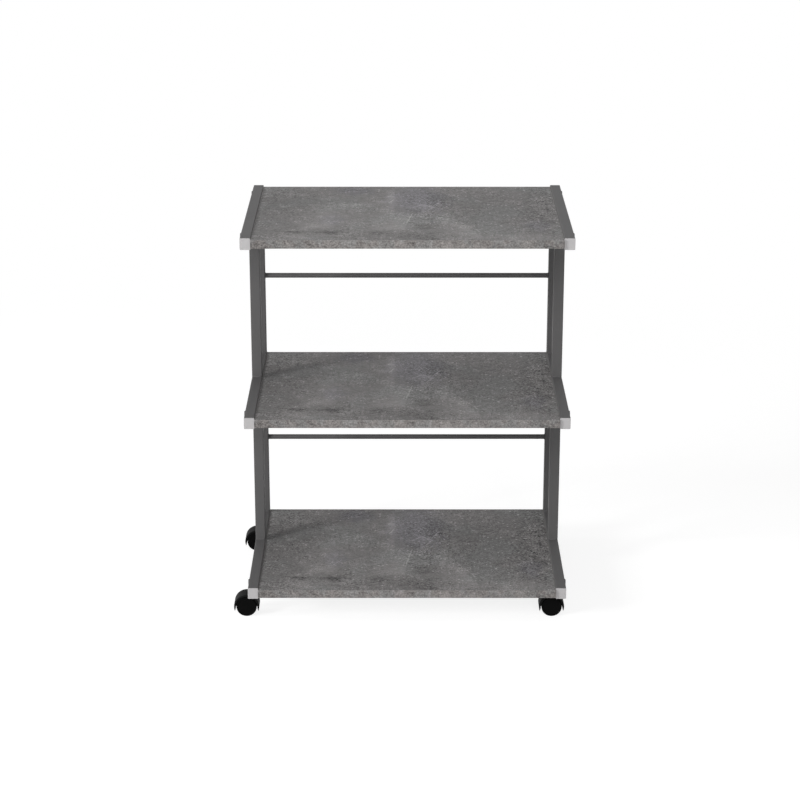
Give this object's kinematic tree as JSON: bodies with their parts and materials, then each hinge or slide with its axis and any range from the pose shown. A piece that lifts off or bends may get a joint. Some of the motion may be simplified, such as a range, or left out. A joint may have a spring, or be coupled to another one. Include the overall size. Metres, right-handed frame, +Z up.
{
  "type": "mobile printer stand",
  "caption": "Open printer stand on swivelling twin-wheel castors: concrete-look boards between two dark tube side frames, with round crossbars at the back.",
  "frame": {"origin": "middle of the footprint at floor level, castors at rest included", "axes": "+X to the right, +Y to the back, +Z up, seen from the front"},
  "size_m": [0.6527, 0.432, 0.775],
  "materials": {
    "frame_paint": "fine satin powder coat, anthracite",
    "cap_plastic": "light grey moulded plastic",
    "board": "concrete-look melamine face on particle board",
    "board_edge": "concrete-look edging strip",
    "black_bolt": "dark coated steel",
    "castor_plastic": "black moulded nylon",
    "wheel_plastic": "black moulded nylon",
    "zinc_steel": "bright zinc plated"
  },
  "bodies": {
    "stand": {"barrel_nuts": "zinc_steel", "board_bolts": "black_bolt", "castor_nuts": "zinc_steel", "castor_stem_front_left": "zinc_steel", "castor_stem_front_right": "zinc_steel", "castor_stem_rear_left": "zinc_steel", "castor_stem_rear_right": "zinc_steel", "crossbar_bolts": "black_bolt", "lower_board": "board", "lower_board_edging": "board_edge", "lower_cap_front_left": "cap_plastic", "lower_cap_front_right": "cap_plastic", "lower_cap_rear_left": "cap_plastic", "lower_cap_rear_right": "cap_plastic", "lower_crossbar": "frame_paint", "lower_post_front_left": "frame_paint", "lower_post_front_right": "frame_paint", "lower_post_rear_left": "frame_paint", "lower_post_rear_right": "frame_paint", "lower_rail_left": "frame_paint", "lower_rail_right": "frame_paint", "middle_board": "board", "middle_board_edging": "board_edge", "middle_cap_front_left": "cap_plastic", "middle_cap_front_right": "cap_plastic", "middle_cap_rear_left": "cap_plastic", "middle_cap_rear_right": "cap_plastic", "middle_rail_left": "frame_paint", "middle_rail_right": "frame_paint", "stem_rings": "zinc_steel", "swivel_washers": "zinc_steel", "top_board": "board", "top_board_edging": "board_edge", "top_cap_front_left": "cap_plastic", "top_cap_front_right": "cap_plastic", "top_cap_rear_left": "cap_plastic", "top_cap_rear_right": "cap_plastic", "top_rail_left": "frame_paint", "top_rail_right": "frame_paint", "upper_crossbar": "frame_paint", "upper_post_front_left": "frame_paint", "upper_post_front_right": "frame_paint", "upper_post_rear_left": "frame_paint", "upper_post_rear_right": "frame_paint"},
    "castor_front_left": {"castor_housing_front_left": "castor_plastic", "castor_axle_front_left": "zinc_steel"},
    "wheel_front_left_a": {"castor_wheel_front_left_a": "wheel_plastic"},
    "wheel_front_left_b": {"castor_wheel_front_left_b": "wheel_plastic"},
    "castor_front_right": {"castor_housing_front_right": "castor_plastic", "castor_axle_front_right": "zinc_steel"},
    "wheel_front_right_a": {"castor_wheel_front_right_a": "wheel_plastic"},
    "wheel_front_right_b": {"castor_wheel_front_right_b": "wheel_plastic"},
    "castor_rear_left": {"castor_housing_rear_left": "castor_plastic", "castor_axle_rear_left": "zinc_steel"},
    "wheel_rear_left_a": {"castor_wheel_rear_left_a": "wheel_plastic"},
    "wheel_rear_left_b": {"castor_wheel_rear_left_b": "wheel_plastic"},
    "castor_rear_right": {"castor_housing_rear_right": "castor_plastic", "castor_axle_rear_right": "zinc_steel"},
    "wheel_rear_right_a": {"castor_wheel_rear_right_a": "wheel_plastic"},
    "wheel_rear_right_b": {"castor_wheel_rear_right_b": "wheel_plastic"}
  },
  "joints": [
    {"name": "swivel_front_left", "type": "hinge", "parent": "stand", "child": "castor_front_left", "pos_m": [-0.28605, -0.165, 0.04], "axis": [0, 0, 1], "continuous": true},
    {"name": "roll_front_left_a", "type": "hinge", "parent": "castor_front_left", "child": "wheel_front_left_a", "pos_m": [-0.30155, -0.176, 0.02], "axis": [0, 1, 0], "continuous": true},
    {"name": "roll_front_left_b", "type": "hinge", "parent": "castor_front_left", "child": "wheel_front_left_b", "pos_m": [-0.30155, -0.154, 0.02], "axis": [0, 1, 0], "continuous": true},
    {"name": "swivel_front_right", "type": "hinge", "parent": "stand", "child": "castor_front_right", "pos_m": [0.31395, -0.165, 0.04], "axis": [0, 0, 1], "continuous": true},
    {"name": "roll_front_right_a", "type": "hinge", "parent": "castor_front_right", "child": "wheel_front_right_a", "pos_m": [0.29845, -0.176, 0.02], "axis": [0, 1, 0], "continuous": true},
    {"name": "roll_front_right_b", "type": "hinge", "parent": "castor_front_right", "child": "wheel_front_right_b", "pos_m": [0.29845, -0.154, 0.02], "axis": [0, 1, 0], "continuous": true},
    {"name": "swivel_rear_left", "type": "hinge", "parent": "stand", "child": "castor_rear_left", "pos_m": [-0.28605, 0.169, 0.04], "axis": [0, 0, 1], "continuous": true},
    {"name": "roll_rear_left_a", "type": "hinge", "parent": "castor_rear_left", "child": "wheel_rear_left_a", "pos_m": [-0.30155, 0.158, 0.02], "axis": [0, 1, 0], "continuous": true},
    {"name": "roll_rear_left_b", "type": "hinge", "parent": "castor_rear_left", "child": "wheel_rear_left_b", "pos_m": [-0.30155, 0.18, 0.02], "axis": [0, 1, 0], "continuous": true},
    {"name": "swivel_rear_right", "type": "hinge", "parent": "stand", "child": "castor_rear_right", "pos_m": [0.31395, 0.169, 0.04], "axis": [0, 0, 1], "continuous": true},
    {"name": "roll_rear_right_a", "type": "hinge", "parent": "castor_rear_right", "child": "wheel_rear_right_a", "pos_m": [0.29845, 0.158, 0.02], "axis": [0, 1, 0], "continuous": true},
    {"name": "roll_rear_right_b", "type": "hinge", "parent": "castor_rear_right", "child": "wheel_rear_right_b", "pos_m": [0.29845, 0.18, 0.02], "axis": [0, 1, 0], "continuous": true}
  ]
}
